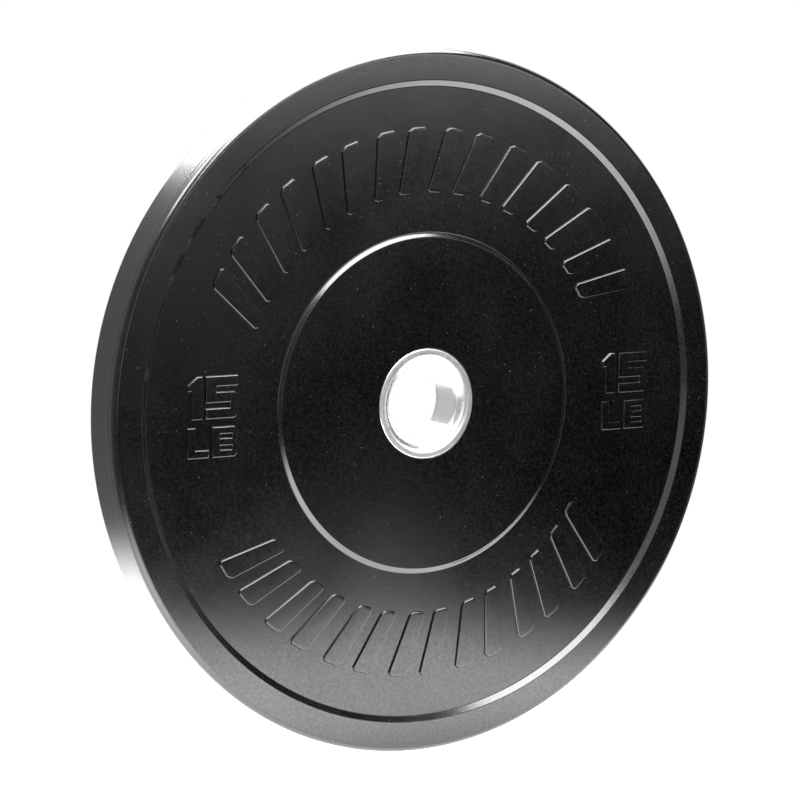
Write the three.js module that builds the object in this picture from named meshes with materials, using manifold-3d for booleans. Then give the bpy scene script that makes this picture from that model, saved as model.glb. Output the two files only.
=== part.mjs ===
// A thin solid-rubber bumper plate for a barbell, in millimetres.
// It stands on its tread: the bore's axis lies along Y, the front face looks along -Y, and +Z is up.
// The origin is the centre of the bore, halfway between the two faces.

import * as THREE from 'three';
import { mergeVertices } from 'three/addons/utils/BufferGeometryUtils.js';
import Module from 'manifold-3d';

// Plate as a whole
const plateDiameter = 450;
const plateThickness = 33;

// Rubber faces, alike at the front and the rear: rim, sunken panel and raised boss
const treadCornerRadius = 4;
const rimWidth = 19.6;
const rimWallRun = 3.8;
const panelDepth = 2.5;
const bossDiameter = 211.8;
const bossWallRun = 2.8;
const bossDepth = 0.7;

// Steel hub: a sleeve with a turned ring pressed over each end
const boreDiameter = 50.6;
const sleeveWall = 3;
const flangeDiameter = 70;
const flangeThickness = 3;
const flangeProud = 0.3;
const flangeLipRadius = 0.5;
const flangeFaceWidth = 2;
const mouthDepth = 4.4;
const seatLand = 1;
const collarWall = 2.7;
const collarLength = 8;

// Stamped disc inside the rubber, with flow holes and bent hook tabs
const anchorDiameter = 124;
const anchorThickness = 3;
const flowHoleDiameter = 10;
const flowHolePitchRadius = 46;
const hookWidth = 14;
const hookThickness = 3;
const hookHeight = 6;
const hookInset = 0.5;

// Raised marks of the panel
const markRelief = 1.3;
const markRoot = 0.6;
const barLength = 42;
const barWidth = 13;
const barGap = 8;
const barChamfer = 2.5;

// Weight marks: numerals above letters
const numeralHeight = 27;
const numeralSlot = 3;
const numeralStem = 8.4;
const oneWidth = 11;
const flagRun = 6.6;
const flagRise = 5.4;
const flagHeight = 9.4;
const fiveWidth = 23.3;
const fiveWallWidth = 6.4;
const letterHeight = 19.5;
const letterSlot = 2.1;
const letterStem = 6.2;
const beeWallWidth = 5;
const letterFoot = 5.4;
const ellWidth = 15.8;
const beeWidth = 18.6;
const glyphGap = 1.7;
const lineGap = 4.6;
const glyphChamfer = 2.4;

// Gap between pieces that seat on each other, and how far a cutting shape runs past what it cuts
const clearance = 0.3;
const overrun = 1;

// Angles in degrees
const barSlant = 17;
const barPairPitch = 16.8;

// Counts
const rubberFacets = 96;
const hubFacets = 48;
const holeFacets = 16;
const cornerSteps = 3;
const mouthSteps = 4;
const flowHoleCount = 8;
const upperBarPairs = 8;
const lowerBarPairs = 7;

// Radii and half-lengths that follow from the sizes above
const plateRadius = plateDiameter / 2;
const halfThickness = plateThickness / 2;
const boreRadius = boreDiameter / 2;
const sleeveRadius = boreRadius + sleeveWall;
const seatRadius = sleeveRadius + clearance;
const collarRadius = seatRadius + collarWall;
const flangeRadius = flangeDiameter / 2;
const anchorRadius = anchorDiameter / 2;
const bossRadius = bossDiameter / 2;
const rimInnerRadius = plateRadius - rimWidth;
const panelInnerRadius = bossRadius + bossWallRun;
const panelOuterRadius = rimInnerRadius - rimWallRun;
const panelMidRadius = (panelInnerRadius + panelOuterRadius) / 2;
const panelY = halfThickness - panelDepth;
const bossY = halfThickness - bossDepth;
const flangeFaceY = bossY + flangeProud;
const mouthRadius = flangeRadius - flangeLipRadius - flangeFaceWidth;
const sleeveHalfLength = flangeFaceY - mouthDepth - seatLand - clearance;

const wasm = await Module();
wasm.setup();

// A closed geometry as a solid that can be joined and cut
function solidFrom(geometry) {
  const bare = geometry.clone();
  bare.deleteAttribute('normal');
  bare.deleteAttribute('uv');
  const merged = mergeVertices(bare);
  const vertProperties = new Float32Array(merged.attributes.position.array);
  const triVerts = new Uint32Array(merged.index.array);
  return new wasm.Manifold(new wasm.Mesh({ numProp: 3, vertProperties, triVerts }));
}

function geometryFrom(solid) {
  const mesh = solid.getMesh();
  const geometry = new THREE.BufferGeometry();
  geometry.setAttribute('position', new THREE.BufferAttribute(mesh.vertProperties, 3));
  geometry.setIndex(new THREE.BufferAttribute(mesh.triVerts, 1));
  return geometry;
}

// A closed section of [radius, y] points turned round the Y axis.
// The facets lie outside the true circle and touch it at their middles, with one of them straight down.
function turned(section, facets) {
  const reach = 1 / Math.cos(Math.PI / facets);
  const points = section.map(([radius, y]) => new THREE.Vector2(radius * reach, y));
  points.push(points[0].clone());
  return new THREE.LatheGeometry(points, facets, Math.PI / facets, 2 * Math.PI);
}

// A rounded corner of a section, from the face at faceY out to the wall at wallRadius
function roundedCorner(wallRadius, faceY, cornerRadius, steps) {
  const points = [];
  for (let step = 0; step <= steps; step += 1) {
    const angle = (Math.PI / 2) * (1 - step / steps);
    const radius = wallRadius - cornerRadius + cornerRadius * Math.cos(angle);
    const y = faceY - cornerRadius + cornerRadius * Math.sin(angle);
    points.push([radius, y]);
  }
  return points;
}

// Half of the rubber's section, from the hub's wall out to the tread
function rubberHalfSection() {
  const collarPocketY = flangeFaceY - flangeThickness - collarLength - clearance;
  const flangePocketY = flangeFaceY - flangeThickness - clearance;
  return [
    [seatRadius, collarPocketY],
    [collarRadius + clearance, collarPocketY],
    [collarRadius + clearance, flangePocketY],
    [flangeRadius + clearance, flangePocketY],
    [flangeRadius + clearance, bossY],
    [bossRadius, bossY],
    [panelInnerRadius, panelY],
    [panelOuterRadius, panelY],
    [rimInnerRadius, halfThickness],
    ...roundedCorner(plateRadius, halfThickness, treadCornerRadius, cornerSteps),
  ];
}

function rubberBlank() {
  const rearHalf = rubberHalfSection();
  const frontHalf = rearHalf.map(([radius, y]) => [radius, -y]);
  return turned([...frontHalf, ...rearHalf.reverse()], rubberFacets);
}

// The anchor disc, or with a growth the hollow that the rubber keeps round it
function anchorShape(growth, innerRadius) {
  const outerRadius = anchorRadius + growth;
  const halfDisc = anchorThickness / 2 + growth;
  const disc = turned([
    [innerRadius, -halfDisc],
    [outerRadius, -halfDisc],
    [outerRadius, halfDisc],
    [innerRadius, halfDisc],
  ], hubFacets);
  let shape = solidFrom(disc);

  const holeRadius = flowHoleDiameter / 2 - growth;
  const holeLength = 2 * (halfDisc + overrun);
  const tabHeight = anchorThickness / 2 + hookHeight + growth;
  const tabRadius = anchorRadius - hookInset - hookThickness / 2;
  const turn = (2 * Math.PI) / flowHoleCount;

  for (let index = 0; index < flowHoleCount; index += 1) {
    const hole = new THREE.CylinderGeometry(holeRadius, holeRadius, holeLength, holeFacets);
    hole.translate(flowHolePitchRadius, 0, 0);
    hole.rotateY((index + 0.5) * turn);
    shape = shape.subtract(solidFrom(hole));

    const side = index % 2 === 0 ? -1 : 1;
    const tab = new THREE.BoxGeometry(hookThickness + 2 * growth, tabHeight, hookWidth + 2 * growth);
    tab.translate(tabRadius, side * tabHeight / 2, 0);
    tab.rotateY(index * turn);
    shape = shape.add(solidFrom(tab));
  }
  return shape;
}

// The flared mouth of the bore: an arc from the bore's edge, which runs out level with the ring's face
function mouthArc() {
  const run = mouthRadius - boreRadius;
  const arcRadius = (run ** 2 + mouthDepth ** 2) / (2 * mouthDepth);
  const sweep = 2 * Math.atan2(mouthDepth, run);
  const points = [];
  for (let step = 0; step <= mouthSteps; step += 1) {
    const angle = sweep * (1 - step / mouthSteps);
    const radius = mouthRadius - arcRadius * Math.sin(angle);
    const y = flangeFaceY - arcRadius * (1 - Math.cos(angle));
    points.push([radius, y]);
  }
  return points;
}

// One end ring: flared mouth, face, rounded lip, and a collar that fits over the sleeve's end
function flangeGeometry() {
  const lip = roundedCorner(flangeRadius, flangeFaceY, flangeLipRadius, cornerSteps);
  const undersideY = flangeFaceY - flangeThickness;
  const collarEndY = undersideY - collarLength;
  const seatY = flangeFaceY - mouthDepth - seatLand;
  const rearSection = [
    ...mouthArc(),
    ...lip,
    [flangeRadius, undersideY],
    [collarRadius, undersideY],
    [collarRadius, collarEndY],
    [seatRadius, collarEndY],
    [seatRadius, seatY],
    [boreRadius, seatY],
  ];
  return turned(rearSection.map(([radius, y]) => [radius, -y]), hubFacets);
}

function sleeveGeometry() {
  return turned([
    [boreRadius, -sleeveHalfLength],
    [sleeveRadius, -sleeveHalfLength],
    [sleeveRadius, sleeveHalfLength],
    [boreRadius, sleeveHalfLength],
  ], hubFacets);
}

function outline(points) {
  return new THREE.Shape(points.map(([x, y]) => new THREE.Vector2(x, y)));
}

// One slanted bar of the band, bent round the plate's centre.
// Its middle is at angle, its top points away from the centre in the upper band and to it in the lower.
function bandBar(angle, offset, isUpper) {
  const halfWidth = barWidth / 2;
  const halfLength = barLength / 2;
  const lean = Math.tan(THREE.MathUtils.degToRad(barSlant));
  const cut = barChamfer;
  const corners = [
    [-halfWidth + cut, -halfLength],
    [halfWidth - cut, -halfLength],
    [halfWidth, -halfLength + cut],
    [halfWidth, halfLength - cut],
    [halfWidth - cut, halfLength],
    [-halfWidth + cut, halfLength],
    [-halfWidth, halfLength - cut],
    [-halfWidth, -halfLength + cut],
  ];
  const outward = isUpper ? 1 : -1;
  return outline(corners.map(([across, along]) => {
    const arc = offset + across + along * lean;
    const turn = angle - outward * arc / panelMidRadius;
    const radius = panelMidRadius + outward * along;
    return [radius * Math.cos(turn), radius * Math.sin(turn)];
  }));
}

function bandBars(pairCount, isUpper) {
  const middle = isUpper ? Math.PI / 2 : -Math.PI / 2;
  const pitch = THREE.MathUtils.degToRad(barPairPitch);
  const offset = (barWidth + barGap) / 2;
  const bars = [];
  for (let pair = 0; pair < pairCount; pair += 1) {
    const angle = middle + (pair - (pairCount - 1) / 2) * pitch;
    bars.push(bandBar(angle, -offset, isUpper));
    bars.push(bandBar(angle, offset, isUpper));
  }
  return bars;
}

// Plain block figures, each with its lower left corner at [x, y]
function figureOne(x, y) {
  const right = x + oneWidth;
  const stemX = right - numeralStem;
  const top = y + numeralHeight;
  return outline([
    [stemX, y],
    [right, y],
    [right, top],
    [x + flagRun, top],
    [x, top - flagRise],
    [x, top - flagHeight],
    [stemX, top - flagHeight],
  ]);
}

function figureFive(x, y) {
  const stroke = (numeralHeight - 2 * numeralSlot) / 3;
  const right = x + fiveWidth;
  const top = y + numeralHeight;
  const middle = y + stroke + numeralSlot;
  return outline([
    [x, y],
    [right - glyphChamfer, y],
    [right, y + glyphChamfer],
    [right, middle + stroke - glyphChamfer],
    [right - glyphChamfer, middle + stroke],
    [x + numeralStem, middle + stroke],
    [x + numeralStem, top - stroke],
    [right, top - stroke],
    [right, top],
    [x, top],
    [x, middle],
    [right - fiveWallWidth, middle],
    [right - fiveWallWidth, y + stroke],
    [x, y + stroke],
  ]);
}

function letterEll(x, y) {
  return outline([
    [x, y],
    [x + ellWidth, y],
    [x + ellWidth, y + letterFoot],
    [x + letterStem, y + letterFoot],
    [x + letterStem, y + letterHeight],
    [x, y + letterHeight],
  ]);
}

function letterBee(x, y) {
  const stroke = (letterHeight - 2 * letterSlot) / 3;
  const right = x + beeWidth;
  const top = y + letterHeight;
  const waist = y + letterHeight / 2;
  const notch = glyphChamfer / 2;
  const bee = outline([
    [x, y],
    [right - glyphChamfer, y],
    [right, y + glyphChamfer],
    [right, waist - notch],
    [right - notch, waist],
    [right, waist + notch],
    [right, top - glyphChamfer],
    [right - glyphChamfer, top],
    [x, top],
  ]);
  for (const low of [y + stroke, y + 2 * stroke + letterSlot]) {
    bee.holes.push(outline([
      [x + letterStem, low],
      [x + letterStem, low + letterSlot],
      [right - beeWallWidth, low + letterSlot],
      [right - beeWallWidth, low],
    ]));
  }
  return bee;
}

function weightMark(centreX) {
  const width = oneWidth + glyphGap + fiveWidth;
  const height = numeralHeight + lineGap + letterHeight;
  const left = centreX - width / 2;
  const bottom = -height / 2;
  const numeralY = bottom + letterHeight + lineGap;
  return [
    figureOne(left, numeralY),
    figureFive(left + oneWidth + glyphGap, numeralY),
    letterEll(left, bottom),
    letterBee(left + ellWidth + glyphGap, bottom),
  ];
}

// All raised marks of the front face, as solids rooted a little way into the panel
function frontMarks() {
  const shapes = [
    ...bandBars(upperBarPairs, true),
    ...bandBars(lowerBarPairs, false),
    ...weightMark(-panelMidRadius),
    ...weightMark(panelMidRadius),
  ];
  return shapes.map((shape) => {
    const options = { depth: markRoot + markRelief, bevelEnabled: false, curveSegments: 1 };
    const mark = new THREE.ExtrudeGeometry(shape, options);
    mark.rotateX(Math.PI / 2);
    mark.translate(0, markRoot - panelY, 0);
    return mark;
  });
}

// The moulding: its turned blank, the marks of both faces, and the hollow that holds the anchor disc
function rubberGeometry() {
  let rubber = solidFrom(rubberBlank());
  for (const mark of frontMarks()) {
    const rearMark = mark.clone().rotateZ(Math.PI);
    rubber = rubber.add(solidFrom(mark)).add(solidFrom(rearMark));
  }
  return geometryFrom(rubber.subtract(anchorShape(clearance, boreRadius)));
}

const rubber = new THREE.MeshStandardMaterial({ color: 0x1c1d1e, roughness: 0.62, metalness: 0 });
const satinSteel = new THREE.MeshStandardMaterial({ color: 0xb2b5b4, roughness: 0.4, metalness: 1 });
const polishedSteel = new THREE.MeshStandardMaterial({ color: 0xd9dbdb, roughness: 0.15, metalness: 1 });
const plainSteel = new THREE.MeshStandardMaterial({ color: 0x8b8e90, roughness: 0.5, metalness: 1 });

const group = new THREE.Group();

function addPiece(name, geometry, material) {
  const piece = new THREE.Mesh(geometry, material);
  piece.name = name;
  group.add(piece);
  return piece;
}

addPiece('rubber_body', rubberGeometry(), rubber);
addPiece('hub_sleeve', sleeveGeometry(), polishedSteel);
addPiece('front_flange', flangeGeometry(), satinSteel);
const rearFlange = addPiece('rear_flange', flangeGeometry(), satinSteel);
rearFlange.rotation.z = Math.PI;
addPiece('anchor_disc', geometryFrom(anchorShape(0, seatRadius)), plainSteel);

export default group;
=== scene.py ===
# A rubber bumper plate for a barbell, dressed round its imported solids, in metres.
# It stands on its tread: the bore's axis lies along Y, the front looks along -Y, and +Z is up.
import math

import bmesh
import bpy
from mathutils import Matrix, Vector


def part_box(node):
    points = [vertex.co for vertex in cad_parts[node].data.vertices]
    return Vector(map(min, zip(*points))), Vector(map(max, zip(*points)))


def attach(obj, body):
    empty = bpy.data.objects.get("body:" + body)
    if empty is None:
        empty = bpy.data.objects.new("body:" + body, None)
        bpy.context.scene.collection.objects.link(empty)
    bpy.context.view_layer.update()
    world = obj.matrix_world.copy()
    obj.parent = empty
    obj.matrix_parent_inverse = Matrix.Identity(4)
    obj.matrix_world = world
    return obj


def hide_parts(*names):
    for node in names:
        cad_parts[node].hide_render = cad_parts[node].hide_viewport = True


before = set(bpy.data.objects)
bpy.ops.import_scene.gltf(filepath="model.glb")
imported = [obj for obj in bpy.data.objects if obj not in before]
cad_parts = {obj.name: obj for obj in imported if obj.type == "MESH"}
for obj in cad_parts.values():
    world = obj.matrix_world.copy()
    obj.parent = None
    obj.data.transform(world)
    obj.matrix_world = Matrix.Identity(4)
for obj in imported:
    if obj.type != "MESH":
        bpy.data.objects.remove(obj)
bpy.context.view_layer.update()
mm = 0.001


# Camera
# It stands left of the plate and a little above its middle, and looks through a long lens,
# so the tread shows on the left and the bore's far wall on the right. The plate has rolled
# a little to the right in the picture, so the camera is rolled the other way round its axis.
camera_place = Vector((-1.3210, -2.0826, 0.3164))
camera_aim = Vector((0.52853, 0.83936, -0.12702))
camera_lens = 174.92
camera_film = 36.0
plate_roll = math.radians(0.8)


def add_object(name, data):
    """An object of the scene that holds the given mesh, light or camera."""
    thing = bpy.data.objects.new(name, data)
    bpy.context.scene.collection.objects.link(thing)
    return thing


camera_data = bpy.data.cameras.new("camera")
camera_data.lens = camera_lens
camera_data.sensor_width = camera_film
camera = add_object("camera", camera_data)
rolled = Matrix.Rotation(-plate_roll, 3, "Y")
camera.location = rolled @ camera_place
camera.rotation_euler = (rolled @ camera_aim.to_track_quat("-Z", "Y").to_matrix()).to_euler()
bpy.context.scene.camera = camera


# Anchor disc
# A disc of plain mild steel, punched with flow holes, with hook tabs bent up from its rim.
# It is welded round the middle of the sleeve, and lies in the rubber, so its own solid is kept.
mill_scale = (0.33, 0.34, 0.36, 1.0)
bare_steel = (0.46, 0.47, 0.48, 1.0)
mill_scale_roughness = 0.62
bare_steel_roughness = 0.42
scale_patch_size = 9 * mm
rolled_grain_size = 0.8 * mm
rolled_grain_depth = 0.03 * mm

# Stretches of a mottle's value over which one look gives way to another
firm_patches = (0.35, 0.65)
soft_patches = (0.3, 0.7)


def new_finish(name, **constants):
    """A material with one Principled shader, whose even values are set on its own sockets."""
    finish = bpy.data.materials.new(name)
    finish.use_nodes = True
    shader = finish.node_tree.nodes["Principled BSDF"]
    for socket, value in constants.items():
        shader.inputs[socket.replace("_", " ")].default_value = value
    return finish, finish.node_tree, shader


def place_on_piece(tree, stretch=(1.0, 1.0, 1.0)):
    """The point on the piece in metres, stretched along its axes."""
    place = tree.nodes.new("ShaderNodeTexCoord")
    mapping = tree.nodes.new("ShaderNodeMapping")
    mapping.inputs["Scale"].default_value = stretch
    tree.links.new(place.outputs["Object"], mapping.inputs["Vector"])
    return mapping.outputs["Vector"]


def mottle(tree, place, size, detail=3.0, roughness=0.55):
    """Cloudy variation from 0 to 1, with patches of about the given size in metres."""
    noise = tree.nodes.new("ShaderNodeTexNoise")
    noise.inputs["Scale"].default_value = 1.0 / size
    noise.inputs["Detail"].default_value = detail
    noise.inputs["Roughness"].default_value = roughness
    tree.links.new(place, noise.inputs["Vector"])
    return noise.outputs["Fac"]


def spread(tree, value, from_low, from_high, to_low, to_high):
    """The value moved from one range to another, and held inside it."""
    ranging = tree.nodes.new("ShaderNodeMapRange")
    ranging.inputs["From Min"].default_value = from_low
    ranging.inputs["From Max"].default_value = from_high
    ranging.inputs["To Min"].default_value = to_low
    ranging.inputs["To Max"].default_value = to_high
    tree.links.new(value, ranging.inputs["Value"])
    return ranging.outputs["Result"]


def blend_colours(tree, share, first, second):
    """A mix of two colours, each a plain colour or another node's output."""
    mix = tree.nodes.new("ShaderNodeMix")
    mix.data_type = "RGBA"
    tree.links.new(share, mix.inputs["Factor"])
    for socket, colour in ((mix.inputs[6], first), (mix.inputs[7], second)):
        if isinstance(colour, bpy.types.NodeSocket):
            tree.links.new(colour, socket)
        else:
            socket.default_value = colour
    return mix.outputs[2]


def relief(tree, shader, height, depth):
    """Fine relief on the surface, whose height of 1 stands for the given depth in metres."""
    bump = tree.nodes.new("ShaderNodeBump")
    bump.inputs["Distance"].default_value = depth
    tree.links.new(height, bump.inputs["Height"])
    tree.links.new(bump.outputs["Normal"], shader.inputs["Normal"])


plain_steel, tree, shader = new_finish("plain_steel", Metallic=1.0)
place = place_on_piece(tree)
scale_patches = mottle(tree, place, scale_patch_size, detail=5.0)
rolled_grain = mottle(tree, place, rolled_grain_size)
bare_share = spread(tree, scale_patches, *firm_patches, 0.0, 1.0)
roughness = spread(tree, scale_patches, *soft_patches, mill_scale_roughness, bare_steel_roughness)
tree.links.new(blend_colours(tree, bare_share, mill_scale, bare_steel), shader.inputs["Base Color"])
tree.links.new(roughness, shader.inputs["Roughness"])
relief(tree, shader, rolled_grain, rolled_grain_depth)

anchor_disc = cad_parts["anchor_disc"]
anchor_disc.data.materials.clear()
anchor_disc.data.materials.append(plain_steel)


# Hub sleeve
# The steel tube that the bar's sleeve runs in, cut from stainless tube and honed bright inside.
# Its ends are eased, and each one stands inside the collar of a turned ring.
_, sleeve_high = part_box("hub_sleeve")
sleeve_radius = sleeve_high.x
sleeve_half_length = sleeve_high.y
sleeve_wall = 3 * mm
bore_radius = sleeve_radius - sleeve_wall
sleeve_edge = 0.3 * mm
hub_steps = 160
fewest_ease_steps = 3
ease_steps_per_mm = 2.5
round_profile = 0.5
weld_distance = 0.001 * mm
sharp_angle = math.radians(30.0)
polished_colour = (0.80, 0.80, 0.79, 1.0)
polished_shade = (0.70, 0.71, 0.71, 1.0)
polished_roughness = (0.19, 0.24)
honing_size = 1.2 * mm
honing_stretch = (0.35, 3.0, 0.35)
honing_depth = 0.004 * mm
smear_size = 7 * mm


def turn_section(corners, steps):
    """A closed section turned round the bore's axis.
    Each corner is (radius, y, ease), and the ease is how far back from the corner its rounding starts."""
    solid = bmesh.new()
    points = [solid.verts.new((radius, y, 0.0)) for radius, y, ease in corners]
    for index, point in enumerate(points):
        solid.edges.new((points[index - 1], point))
    for point, (radius, y, ease) in zip(points, corners):
        if ease > 0.0:
            bmesh.ops.bevel(
                solid,
                geom=[point],
                offset=ease,
                offset_type="OFFSET",
                affect="VERTICES",
                segments=max(fewest_ease_steps, round(ease / mm * ease_steps_per_mm)),
                profile=round_profile,
                material=-1,
            )
    bmesh.ops.spin(
        solid,
        geom=solid.verts[:] + solid.edges[:],
        cent=(0.0, 0.0, 0.0),
        axis=(0.0, 1.0, 0.0),
        angle=2.0 * math.pi,
        steps=steps,
        use_merge=True,
    )
    bmesh.ops.remove_doubles(solid, verts=solid.verts, dist=weld_distance)
    bmesh.ops.recalc_face_normals(solid, faces=solid.faces)
    return solid


def mesh_from(name, solid):
    """The mesh of a finished solid, which is then let go."""
    mesh = bpy.data.meshes.new(name)
    solid.to_mesh(mesh)
    solid.free()
    return mesh


def make_piece(name, solid, finish):
    """The finished solid as a piece that rides on the plate, smooth but for its sharp edges."""
    mesh = mesh_from(name, solid)
    mesh.materials.append(finish)
    mesh.shade_smooth()
    mesh.set_sharp_from_angle(angle=sharp_angle)
    piece = add_object(name, mesh)
    evening = piece.modifiers.new("even_faces", "WEIGHTED_NORMAL")
    evening.keep_sharp = True
    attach(piece, "root")
    return piece


polished_steel, tree, shader = new_finish("polished_steel", Metallic=1.0)
honing = mottle(tree, place_on_piece(tree, honing_stretch), honing_size, detail=4.0)
smears = mottle(tree, place_on_piece(tree), smear_size)
tree.links.new(blend_colours(tree, smears, polished_colour, polished_shade), shader.inputs["Base Color"])
tree.links.new(spread(tree, smears, *soft_patches, *polished_roughness), shader.inputs["Roughness"])
relief(tree, shader, honing, honing_depth)

hub_sleeve = make_piece(
    "honed_sleeve",
    turn_section(
        [
            (bore_radius, -sleeve_half_length, sleeve_edge),
            (sleeve_radius, -sleeve_half_length, sleeve_edge),
            (sleeve_radius, sleeve_half_length, sleeve_edge),
            (bore_radius, sleeve_half_length, sleeve_edge),
        ],
        hub_steps,
    ),
    polished_steel,
)
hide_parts("hub_sleeve")


# Front and rear flanges
# Two stainless rings turned on a lathe, with a narrow satin face, an eased lip and a flared mouth.
# A collar behind each face is pressed over the sleeve's end, and a land closes over the tube.
flange_low, flange_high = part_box("front_flange")
flange_radius = flange_high.x
flange_face_y = -flange_low.y
collar_end_y = -flange_high.y
flange_thickness = 3 * mm
flange_lip = 0.5 * mm
flange_face_width = 2 * mm
mouth_depth = 4.4 * mm
mouth_steps = 14
seat_land = 1 * mm
seat_clearance = 0.3 * mm
collar_wall = 2.7 * mm
turned_edge = 0.15 * mm
seat_radius = sleeve_radius + seat_clearance
collar_radius = seat_radius + collar_wall
mouth_radius = flange_radius - flange_lip - flange_face_width
satin_colour = (0.60, 0.60, 0.595, 1.0)
satin_shade = (0.57, 0.575, 0.575, 1.0)
satin_roughness = (0.25, 0.28)
tool_mark_pitch = 0.35 * mm
tool_mark_depth = 0.004 * mm
wiped_patch_size = 6 * mm


def mouth_arc(face_y):
    """Corners of the flared mouth, from the bore's edge out to where it runs level with the face."""
    run = mouth_radius - bore_radius
    arc_radius = (run ** 2 + mouth_depth ** 2) / (2 * mouth_depth)
    sweep = 2 * math.atan2(mouth_depth, run)
    corners = []
    for step in range(mouth_steps + 1):
        angle = sweep * (1 - step / mouth_steps)
        radius = mouth_radius - arc_radius * math.sin(angle)
        corners.append((radius, face_y - arc_radius * (1 - math.cos(angle)), 0.0))
    return corners


def flange_section(side):
    """The ring's section on one side of the plate: -1 at the front, 1 at the rear."""
    face_y = flange_face_y
    under_y = face_y - flange_thickness
    seat_y = face_y - mouth_depth - seat_land
    corners = [
        *mouth_arc(face_y),
        (flange_radius, face_y, flange_lip),
        (flange_radius, under_y, turned_edge),
        (collar_radius, under_y, 0.0),
        (collar_radius, collar_end_y, turned_edge),
        (seat_radius, collar_end_y, turned_edge),
        (seat_radius, seat_y, 0.0),
        (bore_radius, seat_y, turned_edge),
    ]
    return [(radius, side * y, ease) for radius, y, ease in corners]


def radius_on_plate(tree, place):
    """The distance in metres from the bore's axis."""
    across = tree.nodes.new("ShaderNodeVectorMath")
    across.operation = "MULTIPLY"
    across.inputs[1].default_value = (1.0, 0.0, 1.0)
    tree.links.new(place, across.inputs[0])
    length = tree.nodes.new("ShaderNodeVectorMath")
    length.operation = "LENGTH"
    tree.links.new(across.outputs["Vector"], length.inputs[0])
    return length.outputs["Value"]


satin_steel, tree, shader = new_finish("satin_steel", Metallic=1.0)
place = place_on_piece(tree)
tool_marks = mottle(tree, radius_on_plate(tree, place), tool_mark_pitch, detail=2.0)
wiped_patches = mottle(tree, place, wiped_patch_size)
tree.links.new(blend_colours(tree, wiped_patches, satin_colour, satin_shade), shader.inputs["Base Color"])
tree.links.new(spread(tree, wiped_patches, *soft_patches, *satin_roughness), shader.inputs["Roughness"])
relief(tree, shader, tool_marks, tool_mark_depth)

for name, side in (("front_flange", -1), ("rear_flange", 1)):
    ring = make_piece("turned_" + name, turn_section(flange_section(side), hub_steps), satin_steel)
    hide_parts(name)


# Rubber moulding: the blank
# One vulcanised rubber moulding: tread, raised rims, sunken panels and bosses round the hub.
# It is moulded round the steel insert, and a thin line of flash is left where the mould parts.
rubber_low, rubber_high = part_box("rubber_body")
plate_radius = rubber_high.x
half_thickness = rubber_high.y
flash_height = 0.12 * mm
flash_half_width = 1.1 * mm
flash_behind_front = 8.5 * mm
flash_ease = 0.3 * mm
tread_corner = 4 * mm
rim_width = 19.6 * mm
rim_wall_run = 3.8 * mm
panel_depth = 2.5 * mm
boss_radius = 106.3 * mm
boss_wall_run = 2.4 * mm
boss_depth = 0.7 * mm
crisp_edge = 0.35 * mm
foot_ease = 0.9 * mm
pocket_gap = 0.3 * mm
anchor_radius = 62 * mm
anchor_half = 1.5 * mm
plate_steps = 256

rim_inner_radius = plate_radius - rim_width
panel_outer_radius = rim_inner_radius - rim_wall_run
panel_inner_radius = boss_radius + boss_wall_run
panel_y = half_thickness - panel_depth
boss_y = half_thickness - boss_depth


def face_corners(side):
    """Corners of one face, from the hub's wall out to the tread."""
    under_flange_y = flange_face_y - flange_thickness - pocket_gap
    under_collar_y = collar_end_y - pocket_gap
    wall_radius = plate_radius - flash_height
    corners = [
        (seat_radius, under_collar_y, 0.0),
        (collar_radius + pocket_gap, under_collar_y, 0.0),
        (collar_radius + pocket_gap, under_flange_y, 0.0),
        (flange_radius + pocket_gap, under_flange_y, 0.0),
        (flange_radius + pocket_gap, boss_y, crisp_edge),
        (boss_radius, boss_y, crisp_edge),
        (panel_inner_radius, panel_y, foot_ease),
        (panel_outer_radius, panel_y, crisp_edge),
        (rim_inner_radius, half_thickness, crisp_edge),
        (wall_radius, half_thickness, tread_corner),
    ]
    return [(radius, side * y, ease) for radius, y, ease in corners]


flash_y = flash_behind_front - half_thickness
tread_flash = [
    (plate_radius - flash_height, flash_y - flash_half_width, flash_ease),
    (plate_radius, flash_y, flash_ease),
    (plate_radius - flash_height, flash_y + flash_half_width, flash_ease),
]
anchor_groove = [
    (seat_radius, anchor_half + pocket_gap, 0.0),
    (anchor_radius + pocket_gap, anchor_half + pocket_gap, 0.0),
    (anchor_radius + pocket_gap, -anchor_half - pocket_gap, 0.0),
    (seat_radius, -anchor_half - pocket_gap, 0.0),
]
blank = turn_section(
    face_corners(-1) + tread_flash + face_corners(1)[::-1] + anchor_groove,
    plate_steps,
)


# Rubber moulding: the raised marks
# Slanted bars in two bands, and the weight in plain block figures, stand proud of both panels.
# They are cut into the mould with some draft, so their walls lean and their top edges are soft.
mark_relief = 1.3 * mm
mark_draft = 0.35 * mm
mark_ease = 0.55 * mm
mark_ease_steps = 4
mark_root = 0.6 * mm
mark_sink = 0.02 * mm
bar_length = 42 * mm
bar_width = 13 * mm
bar_gap = 8 * mm
bar_chamfer = 2.5 * mm
bar_slant = math.radians(17.0)
bar_pair_pitch = math.radians(16.8)
upper_bar_pairs = 8
lower_bar_pairs = 7
band_radius = (panel_inner_radius + panel_outer_radius) / 2

marks = bmesh.new()


def cut_outline(*loops):
    """A flat face just under the panel, from an outline and any holes, each a list of (x, z) points."""
    edges = []
    for loop in loops:
        points = [marks.verts.new((x, mark_sink - panel_y, z)) for x, z in loop]
        edges += [marks.edges.new((points[index - 1], point)) for index, point in enumerate(points)]
    bmesh.ops.triangle_fill(marks, use_beauty=True, edges=edges, normal=(0.0, -1.0, 0.0))


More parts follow.
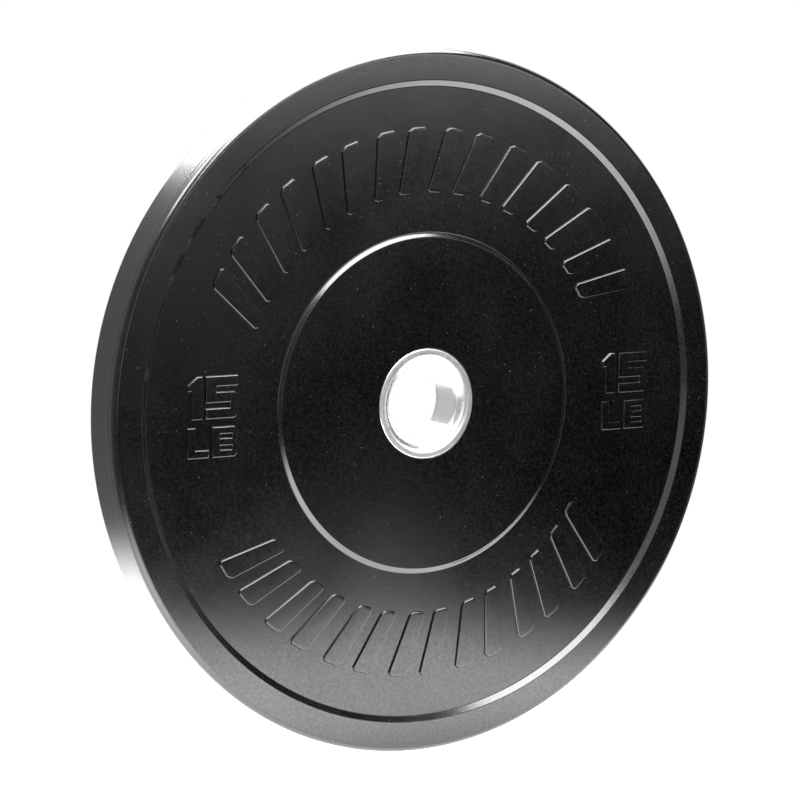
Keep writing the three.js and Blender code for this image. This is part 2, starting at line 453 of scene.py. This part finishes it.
def slanted_bar(angle, offset, outward):
    """One bar of a band, bent round the plate's centre. Outward is 1 above the hub and -1 below it."""
    half_width = bar_width / 2
    half_length = bar_length / 2
    corner = [
        (-half_width + bar_chamfer, -half_length),
        (half_width - bar_chamfer, -half_length),
        (half_width, -half_length + bar_chamfer),
        (half_width, half_length - bar_chamfer),
        (half_width - bar_chamfer, half_length),
        (-half_width + bar_chamfer, half_length),
        (-half_width, half_length - bar_chamfer),
        (-half_width, -half_length + bar_chamfer),
    ]
    bent = []
    for across, along in corner:
        arc = offset + across + along * math.tan(bar_slant)
        turn = angle - outward * arc / band_radius
        radius = band_radius + outward * along
        bent.append((radius * math.cos(turn), radius * math.sin(turn)))
    cut_outline(bent)


for outward, pairs in ((1, upper_bar_pairs), (-1, lower_bar_pairs)):
    for pair in range(pairs):
        angle = outward * math.pi / 2 + (pair - (pairs - 1) / 2) * bar_pair_pitch
        slanted_bar(angle, -(bar_width + bar_gap) / 2, outward)
        slanted_bar(angle, (bar_width + bar_gap) / 2, outward)

numeral_height = 27 * mm
numeral_slot = 3 * mm
numeral_stem = 8.4 * mm
one_width = 11 * mm
flag_run = 6.6 * mm
flag_rise = 5.4 * mm
flag_height = 9.4 * mm
five_width = 23.3 * mm
five_wall = 6.4 * mm
letter_height = 19.5 * mm
letter_slot = 2.1 * mm
letter_stem = 6.2 * mm
bee_wall = 5 * mm
letter_foot = 5.4 * mm
ell_width = 15.8 * mm
bee_width = 18.6 * mm
glyph_gap = 1.7 * mm
line_gap = 4.6 * mm
glyph_chamfer = 2.4 * mm


def cut_one(x, z):
    """The numeral 1, whose lower left corner is at (x, z)."""
    right = x + one_width
    stem_x = right - numeral_stem
    top = z + numeral_height
    cut_outline([
        (stem_x, z),
        (right, z),
        (right, top),
        (x + flag_run, top),
        (x, top - flag_rise),
        (x, top - flag_height),
        (stem_x, top - flag_height),
    ])


def cut_five(x, z):
    """The numeral 5, whose lower left corner is at (x, z)."""
    stroke = (numeral_height - 2 * numeral_slot) / 3
    right = x + five_width
    top = z + numeral_height
    middle = z + stroke + numeral_slot
    cut_outline([
        (x, z),
        (right - glyph_chamfer, z),
        (right, z + glyph_chamfer),
        (right, middle + stroke - glyph_chamfer),
        (right - glyph_chamfer, middle + stroke),
        (x + numeral_stem, middle + stroke),
        (x + numeral_stem, top - stroke),
        (right, top - stroke),
        (right, top),
        (x, top),
        (x, middle),
        (right - five_wall, middle),
        (right - five_wall, z + stroke),
        (x, z + stroke),
    ])


def cut_ell(x, z):
    """The letter L, whose lower left corner is at (x, z)."""
    cut_outline([
        (x, z),
        (x + ell_width, z),
        (x + ell_width, z + letter_foot),
        (x + letter_stem, z + letter_foot),
        (x + letter_stem, z + letter_height),
        (x, z + letter_height),
    ])


def cut_bee(x, z):
    """The letter B with its two slots, whose lower left corner is at (x, z)."""
    stroke = (letter_height - 2 * letter_slot) / 3
    right = x + bee_width
    top = z + letter_height
    waist = z + letter_height / 2
    notch = glyph_chamfer / 2
    border = [
        (x, z),
        (right - glyph_chamfer, z),
        (right, z + glyph_chamfer),
        (right, waist - notch),
        (right - notch, waist),
        (right, waist + notch),
        (right, top - glyph_chamfer),
        (right - glyph_chamfer, top),
        (x, top),
    ]
    slots = []
    for low in (z + stroke, z + 2 * stroke + letter_slot):
        slots.append([
            (x + letter_stem, low),
            (x + letter_stem, low + letter_slot),
            (right - bee_wall, low + letter_slot),
            (right - bee_wall, low),
        ])
    cut_outline(border, *slots)


for middle_x in (-band_radius, band_radius):
    left = middle_x - (one_width + glyph_gap + five_width) / 2
    bottom = -(numeral_height + line_gap + letter_height) / 2
    numeral_z = bottom + letter_height + line_gap
    cut_one(left, numeral_z)
    cut_five(left + one_width + glyph_gap, numeral_z)
    cut_ell(left, bottom)
    cut_bee(left + ell_width + glyph_gap, bottom)

for face in marks.faces:
    if face.normal.y > 0.0:
        face.normal_flip()
mark_tops = marks.faces[:]


def raise_tops(inward, upward):
    """One ring of wall round every mark: the tops shrink inward and rise."""
    bmesh.ops.inset_region(
        marks,
        faces=mark_tops,
        thickness=inward,
        depth=upward,
        use_even_offset=True,
        use_boundary=True,
    )


raise_tops(mark_draft, mark_sink + mark_relief - mark_ease)
quarter = math.pi / 2
for step in range(mark_ease_steps):
    low_turn = quarter * step / mark_ease_steps
    high_turn = quarter * (step + 1) / mark_ease_steps
    inward = mark_ease * (math.cos(low_turn) - math.cos(high_turn))
    upward = mark_ease * (math.sin(high_turn) - math.sin(low_turn))
    raise_tops(inward, upward)

foot_edges = [edge for edge in marks.edges if edge.is_boundary]
rooted = bmesh.ops.extrude_edge_only(marks, edges=foot_edges)["geom"]
root_points = [part for part in rooted if isinstance(part, bmesh.types.BMVert)]
root_edges = [part for part in rooted if isinstance(part, bmesh.types.BMEdge) and part.is_boundary]
bmesh.ops.translate(marks, verts=root_points, vec=(0.0, mark_root, 0.0))
bmesh.ops.triangle_fill(marks, use_beauty=True, edges=root_edges, normal=(0.0, 1.0, 0.0))
bmesh.ops.recalc_face_normals(marks, faces=marks.faces)
rear = bmesh.ops.duplicate(marks, geom=marks.verts[:] + marks.edges[:] + marks.faces[:])["geom"]
rear_points = [part for part in rear if isinstance(part, bmesh.types.BMVert)]
half_turn = Matrix.Rotation(math.pi, 3, "Z")
bmesh.ops.rotate(marks, verts=rear_points, cent=(0.0, 0.0, 0.0), matrix=half_turn)


# Rubber finish
# Black rubber with carbon filler: satin, finely grained from the mould, and faintly smudged.
# The grain dulls the flat faces, handling has burnished the rims and edges, and the tread is rougher.
# A few specks of pale mould dust sit on it.
rubber_dark = (0.00005, 0.00005, 0.00005, 1.0)
rubber_pale = (0.0009, 0.0009, 0.0010, 1.0)
dust_colour = (0.055, 0.058, 0.055, 1.0)
edge_shine = (1.0, 1.0, 1.0, 1.0)
rim_shine = (0.82, 0.82, 0.82, 1.0)
panel_shine = (0.69, 0.69, 0.69, 1.0)
dull_grain = (0.0, 0.0, 0.0, 1.0)
grain_dulling = 0.2
smudge_roughness = (0.165, 0.205)
cloud_roughness = (-0.02, 0.02)
tread_roughness = 0.09
cloud_size = 1.8 * mm
smudge_size = 55 * mm
grain_size = 0.7 * mm
wave_size = 9 * mm
rubber_relief = 0.03 * mm
grain_relief_share = 0.2
wave_relief_share = 0.7
dust_pitch = 4 * mm
dust_size_share = 0.085
dust_core_share = 0.6
dust_kept_share = 0.4

# Stretches of the cloud's value, and of how far a surface faces along the bore, where looks change
pale_clouds = (0.45, 0.57)
edge_to_face = (0.93, 0.985)
tread_to_face = (0.05, 0.5)


def add_up(tree, first, second):
    """The sum of two node outputs."""
    total = tree.nodes.new("ShaderNodeMath")
    tree.links.new(first, total.inputs[0])
    tree.links.new(second, total.inputs[1])
    return total.outputs["Value"]


def multiply(tree, first, second):
    """The product of two node outputs."""
    product = tree.nodes.new("ShaderNodeMath")
    product.operation = "MULTIPLY"
    tree.links.new(first, product.inputs[0])
    tree.links.new(second, product.inputs[1])
    return product.outputs["Value"]


def size_along(tree, value):
    """The value without its sign."""
    size = tree.nodes.new("ShaderNodeMath")
    size.operation = "ABSOLUTE"
    tree.links.new(value, size.inputs[0])
    return size.outputs["Value"]


black_rubber, tree, shader = new_finish("black_rubber", IOR=1.5)
place = place_on_piece(tree)
cloud = mottle(tree, place, cloud_size, detail=1.5)
smudges = mottle(tree, place, smudge_size, detail=3.0)
grain = mottle(tree, place, grain_size, detail=3.0)
waves = mottle(tree, place, wave_size, detail=2.0)

dust_cells = tree.nodes.new("ShaderNodeTexVoronoi")
dust_cells.inputs["Scale"].default_value = 1.0 / dust_pitch
tree.links.new(place, dust_cells.inputs["Vector"])
dust_core_size = dust_size_share * dust_core_share
dust_core = spread(tree, dust_cells.outputs["Distance"], dust_size_share, dust_core_size, 0.0, 1.0)
dust_pick = tree.nodes.new("ShaderNodeSeparateColor")
tree.links.new(dust_cells.outputs["Color"], dust_pick.inputs["Color"])
dust_kept = spread(tree, dust_pick.outputs["Red"], dust_kept_share, 1.0, 0.0, 1.0)
dust_share = multiply(tree, dust_core, dust_kept)

pale_share = spread(tree, cloud, *pale_clouds, 0.0, 1.0)
rubber_colour = blend_colours(tree, pale_share, rubber_dark, rubber_pale)
dusted = blend_colours(tree, dust_share, rubber_colour, dust_colour)
tree.links.new(dusted, shader.inputs["Base Color"])

normal = tree.nodes.new("ShaderNodeTexCoord")
facing = tree.nodes.new("ShaderNodeSeparateXYZ")
tree.links.new(normal.outputs["Normal"], facing.inputs["Vector"])
facing_side = size_along(tree, facing.outputs["Y"])
flat_share = spread(tree, facing_side, *edge_to_face, 0.0, 1.0)
radius = radius_on_plate(tree, place)
rim_share = spread(tree, radius, panel_outer_radius, rim_inner_radius, 0.0, 1.0)
face_shine = blend_colours(tree, rim_share, panel_shine, rim_shine)
grain_share = spread(tree, cloud, *firm_patches, 0.0, grain_dulling)
grained_shine = blend_colours(tree, grain_share, face_shine, dull_grain)
shine = blend_colours(tree, flat_share, edge_shine, grained_shine)
tree.links.new(shine, shader.inputs["Specular Tint"])

broad_roughness = spread(tree, smudges, *firm_patches, *smudge_roughness)
fine_roughness = spread(tree, cloud, *soft_patches, *cloud_roughness)
added_on_tread = spread(tree, facing_side, *tread_to_face, tread_roughness, 0.0)
roughness = add_up(tree, add_up(tree, broad_roughness, fine_roughness), added_on_tread)
tree.links.new(roughness, shader.inputs["Roughness"])
grain_height = spread(tree, grain, 0.0, 1.0, 0.0, grain_relief_share)
wave_height = spread(tree, waves, 0.0, 1.0, 0.0, wave_relief_share)
relief(tree, shader, add_up(tree, grain_height, wave_height), rubber_relief)


# Rubber moulding: joined up
# The blank and the raised marks become one closed mesh, as the mould leaves them.
# The marks' roots reach under the panel, so no flat of theirs lies in the panel's plane.
marks_tool = add_object("raised_marks", mesh_from("raised_marks", marks))
blank_tool = add_object("blank", mesh_from("blank", blank))
joining = blank_tool.modifiers.new("marks", "BOOLEAN")
joining.operation = "UNION"
joining.solver = "MANIFOLD"
joining.object = marks_tool
bpy.context.view_layer.update()
joined = blank_tool.evaluated_get(bpy.context.evaluated_depsgraph_get())
moulding = bmesh.new()
moulding.from_mesh(joined.to_mesh())
joined.to_mesh_clear()
for tool in (marks_tool, blank_tool):
    bpy.data.objects.remove(tool)

rubber_moulding = make_piece("rubber_moulding", moulding, black_rubber)
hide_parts("rubber_body")


# Floor
# A pale glowing table, whose glow is painted light, that ends softly round the plate.
# A painted shadow dims it at the plate's foot, and a painted streak of its light runs on towards the
# right.
floor_radius = 1.2
floor_steps = 96
floor_bright_radius = 0.24
floor_fade_radius = 0.55
floor_middle = Vector((-0.03, -0.07, 0.0))
floor_colour = (0.50, 0.50, 0.50, 1.0)
floor_roughness = 0.7
glow_colour = (1.0, 1.0, 1.0, 1.0)
floor_glow = 6.4
# The lower glow, and the distances from the plate's plane, of a painted shadow at the plate's foot
painted_shadow_glow = 3.3
painted_shadow_near = 0.03
painted_shadow_far = 0.14
# Where a painted streak of light runs on over the floor towards the right
streak_turn = math.radians(58.7)
streak_side = -0.02
streak_half_width = 0.08
streak_start = 0.40
streak_end = 1.3
streak_rise = 0.2
painted_streak_share = 0.28

floor_shape = bmesh.new()
bmesh.ops.create_circle(floor_shape, cap_ends=True, segments=floor_steps, radius=floor_radius)
bmesh.ops.translate(floor_shape, verts=floor_shape.verts, vec=(0.0, 0.0, rubber_low.z))
floor = add_object("floor", mesh_from("floor", floor_shape))

floor_paint, tree, shader = new_finish(
    "floor_paint", Base_Color=floor_colour, Roughness=floor_roughness, Emission_Color=glow_colour
)
place = place_on_piece(tree)
floor_distance = tree.nodes.new("ShaderNodeVectorMath")
floor_distance.operation = "DISTANCE"
floor_distance.inputs[1].default_value = floor_middle + Vector((0.0, 0.0, rubber_low.z))
tree.links.new(place, floor_distance.inputs[0])
pool_share = spread(
    tree, floor_distance.outputs["Value"], floor_bright_radius, floor_fade_radius, 1.0, 0.0
)
pool_share.node.interpolation_type = "SMOOTHSTEP"
floor_sides = tree.nodes.new("ShaderNodeSeparateXYZ")
tree.links.new(place, floor_sides.inputs["Vector"])
# The glow is lower close to the plate's plane: a painted contact shadow at the plate's foot.
painted_shadow_distance = size_along(tree, floor_sides.outputs["Y"])
glow = spread(tree, painted_shadow_distance, painted_shadow_near, painted_shadow_far, painted_shadow_glow, floor_glow)
tree.links.new(glow, shader.inputs["Emission Strength"])

# A painted streak of light: the glowing floor goes on in a narrow strip towards the right, fading along
# it.
streak_turning = tree.nodes.new("ShaderNodeVectorRotate")
streak_turning.rotation_type = "Z_AXIS"
streak_turning.inputs["Angle"].default_value = streak_turn
tree.links.new(place, streak_turning.inputs["Vector"])
streak_place = tree.nodes.new("ShaderNodeSeparateXYZ")
tree.links.new(streak_turning.outputs["Vector"], streak_place.inputs["Vector"])
streak_middle = tree.nodes.new("ShaderNodeMath")
streak_middle.operation = "SUBTRACT"
streak_middle.inputs[1].default_value = streak_side
tree.links.new(streak_place.outputs["Y"], streak_middle.inputs[0])
streak_across = spread(
    tree, size_along(tree, streak_middle.outputs["Value"]), 0.0, streak_half_width, 1.0, 0.0
)
streak_across.node.interpolation_type = "SMOOTHSTEP"
streak_along = spread(tree, streak_place.outputs["X"], streak_start, streak_end, painted_streak_share, 0.0)
streak_from = spread(tree, streak_place.outputs["X"], 0.0, streak_rise, 0.0, 1.0)
streak = multiply(tree, streak_across, multiply(tree, streak_along, streak_from))

floor_share = add_up(tree, pool_share, streak)
floor_share.node.use_clamp = True
gone = tree.nodes.new("ShaderNodeBsdfTransparent")
fading = tree.nodes.new("ShaderNodeMixShader")
tree.links.new(floor_share, fading.inputs["Fac"])
tree.links.new(gone.outputs["BSDF"], fading.inputs[1])
tree.links.new(shader.outputs["BSDF"], fading.inputs[2])
tree.links.new(fading.outputs["Shader"], tree.nodes["Material Output"].inputs["Surface"])
floor.data.materials.append(floor_paint)


# Softboxes
# Big ones hang over the front and the top, and one stands behind. A fill and small cards stand in front.
# What the flat faces, the rims and the tread mirror of them gives the plate its bright and dark parts.
def softbox(name, place, aim, width, height, brightness):
    """A softbox whose face has the given brightness, where the white background has 1."""
    light = bpy.data.lights.new(name, "AREA")
    light.shape = "RECTANGLE"
    light.size = width
    light.size_y = height
    light.energy = brightness * math.pi * width * height
    lamp = add_object(name, light)
    lamp.location = place
    lamp.rotation_euler = (Vector(aim) - Vector(place)).to_track_quat("-Z", "Y").to_euler()
    lamp.visible_camera = False


softbox(
    "front_softbox", place=(0.095, -0.90, 1.0), aim=(0.095, -0.8999, 0.0),
    width=1.11, height=1.5, brightness=24.0,
)
softbox(
    "right_fill", place=(0.80, -1.5, 0.45), aim=(-0.15, 0.0, 0.45),
    width=1.0, height=0.6, brightness=6.3,
)
softbox(
    "left_fill", place=(-0.42, -1.25, 0.30), aim=(0.2, 0.0, 0.0),
    width=0.45, height=0.9, brightness=1.3,
)
softbox(
    "near_card", place=(0.53, -1.5, 0.09), aim=(-0.15, 0.0, 0.0),
    width=0.38, height=0.44, brightness=0.75,
)
softbox(
    "side_card", place=(1.42, -1.5, 0.12), aim=(0.15, 0.0, 0.0),
    width=0.40, height=0.40, brightness=0.25,
)
softbox(
    "right_card", place=(2.58, -1.58, -0.4), aim=(0.0, 0.0, 0.0),
    width=0.80, height=1.0, brightness=1.6,
)
softbox(
    "overhead_softbox", place=(-0.15, 0.2, 1.01), aim=(-0.15, 0.2001, 0.0),
    width=1.7, height=0.9, brightness=20.0,
)
softbox(
    "back_softbox", place=(0.255, 1.1, 1.06), aim=(0.255, 0.0, 1.06),
    width=0.99, height=0.88, brightness=20.0,
)


# Room
# The room is brighter behind the plate and on its left than in front, and the camera sees plain white.
# Each span is where along an axis, from -1 to 1, the light from that direction changes.
left_span = (-0.8, 0.3)
left_glow = 0.4
high_span = (-0.12, -0.03)
high_glow = 0.12
side_span = (-0.18, -0.06)
right_span = (0.0, 0.5)
side_glow = 0.3
back_span = (-0.1, 0.1)
back_glow = (0.62, 1.3)
front_to_back = (-0.05, 0.05)
backdrop_glow = 1.0
backdrop_colour = (1.0, 1.0, 1.0, 1.0)

world = bpy.data.worlds.new("studio")
world.use_nodes = True
bpy.context.scene.world = world
tree = world.node_tree
background = tree.nodes["Background"]
direction = tree.nodes.new("ShaderNodeTexCoord")
sides = tree.nodes.new("ShaderNodeSeparateXYZ")
tree.links.new(direction.outputs["Generated"], sides.inputs["Vector"])
room_left = spread(tree, sides.outputs["X"], *left_span, left_glow, 0.0)
room_high = spread(tree, sides.outputs["Z"], *high_span, 0.0, high_glow)
room_side = spread(tree, sides.outputs["Y"], *side_span, 0.0, side_glow)
room_right = multiply(tree, room_side, spread(tree, sides.outputs["X"], *right_span, 0.0, 1.0))
room_front = add_up(tree, add_up(tree, room_left, room_right), room_high)
room_back = spread(tree, sides.outputs["X"], *back_span, *back_glow)
front_or_back = tree.nodes.new("ShaderNodeMix")
front_or_back.data_type = "FLOAT"
back_share = spread(tree, sides.outputs["Y"], *front_to_back, 0.0, 1.0)
tree.links.new(back_share, front_or_back.inputs["Factor"])
tree.links.new(room_front, front_or_back.inputs["A"])
tree.links.new(room_back, front_or_back.inputs["B"])

seen = tree.nodes.new("ShaderNodeLightPath")
wall = tree.nodes.new("ShaderNodeMix")
wall.data_type = "FLOAT"
tree.links.new(seen.outputs["Is Camera Ray"], wall.inputs["Factor"])
tree.links.new(front_or_back.outputs["Result"], wall.inputs["A"])
wall.inputs["B"].default_value = backdrop_glow
tree.links.new(wall.outputs["Result"], background.inputs["Strength"])
background.inputs["Color"].default_value = backdrop_colour
bpy.context.scene.view_settings.view_transform = "Standard"
